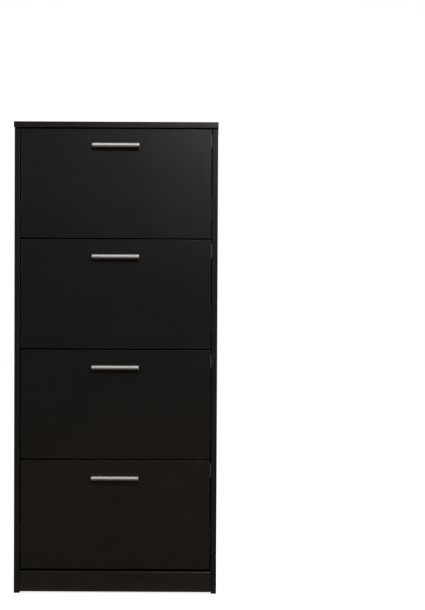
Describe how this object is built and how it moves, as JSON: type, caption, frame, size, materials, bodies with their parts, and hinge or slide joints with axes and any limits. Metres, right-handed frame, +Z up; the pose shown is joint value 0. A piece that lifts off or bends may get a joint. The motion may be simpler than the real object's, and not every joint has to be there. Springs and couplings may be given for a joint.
{
  "type": "shoe cabinet",
  "caption": "Tall narrow shoe cabinet in near-black brown board, with a stack of tip-out flaps on low pivots, round bar handles, and a thin tray between moulded cheeks behind each door.",
  "frame": {"origin": "on the floor, below the centre of the box that holds the whole cabinet, handles included", "axes": "+X to the right of someone facing the doors, +Y to the back (the wall side), +Z up"},
  "size_m": [0.596, 0.19, 1.383],
  "materials": {
    "board": "near-black brown melamine-faced particle board, satin, edges banded in the same colour",
    "sheet": "thin hardboard, dark lacquered face",
    "fitting": "black injection-moulded plastic, fine matte texture",
    "catch": "light grey moulded plastic",
    "handle": "satin nickel on a round bar and two posts",
    "screw": "zinc-plated steel",
    "glide": "grey-brown nylon"
  },
  "bodies": {
    "carcass": {"side_panel_left": "board", "side_panel_right": "board", "top_panel": "board", "bottom_panel": "board", "plinth": "board", "rail_top_rear": "board", "rail_middle_rear": "board", "back_sheet_upper": "sheet", "back_sheet_lower": "sheet", "glide_left_front": "glide", "glide_left_rear": "glide", "glide_right_front": "glide", "glide_right_rear": "glide", "pivot_bracket_left_1": "fitting", "pivot_bracket_right_1": "fitting", "catch_1": "catch", "pivot_bracket_left_2": "fitting", "pivot_bracket_right_2": "fitting", "catch_2": "catch", "pivot_bracket_left_3": "fitting", "pivot_bracket_right_3": "fitting", "catch_3": "catch", "pivot_bracket_left_4": "fitting", "pivot_bracket_right_4": "fitting", "catch_4": "catch"},
    "flap_1": {"door_1": "board", "handle_1": "handle", "handle_screw_left_1": "screw", "handle_screw_right_1": "screw", "cheek_left_1": "fitting", "cheek_right_1": "fitting", "tray_floor_1": "sheet", "tray_back_1": "sheet"},
    "flap_2": {"door_2": "board", "handle_2": "handle", "handle_screw_left_2": "screw", "handle_screw_right_2": "screw", "cheek_left_2": "fitting", "cheek_right_2": "fitting", "tray_floor_2": "sheet", "tray_back_2": "sheet"},
    "flap_3": {"door_3": "board", "handle_3": "handle", "handle_screw_left_3": "screw", "handle_screw_right_3": "screw", "cheek_left_3": "fitting", "cheek_right_3": "fitting", "tray_floor_3": "sheet", "tray_back_3": "sheet"},
    "flap_4": {"door_4": "board", "handle_4": "handle", "handle_screw_left_4": "screw", "handle_screw_right_4": "screw", "cheek_left_4": "fitting", "cheek_right_4": "fitting", "tray_floor_4": "sheet", "tray_back_4": "sheet"}
  },
  "joints": [
    {"name": "flap_1_hinge", "type": "hinge", "parent": "carcass", "child": "flap_1", "pos_m": [0, -0.048, 1.12475], "axis": [1, 0, 0], "range_deg": [0, 45]},
    {"name": "flap_2_hinge", "type": "hinge", "parent": "carcass", "child": "flap_2", "pos_m": [0, -0.048, 0.8015], "axis": [1, 0, 0], "range_deg": [0, 45]},
    {"name": "flap_3_hinge", "type": "hinge", "parent": "carcass", "child": "flap_3", "pos_m": [0, -0.048, 0.47825], "axis": [1, 0, 0], "range_deg": [0, 45]},
    {"name": "flap_4_hinge", "type": "hinge", "parent": "carcass", "child": "flap_4", "pos_m": [0, -0.048, 0.155], "axis": [1, 0, 0], "range_deg": [0, 45]}
  ]
}
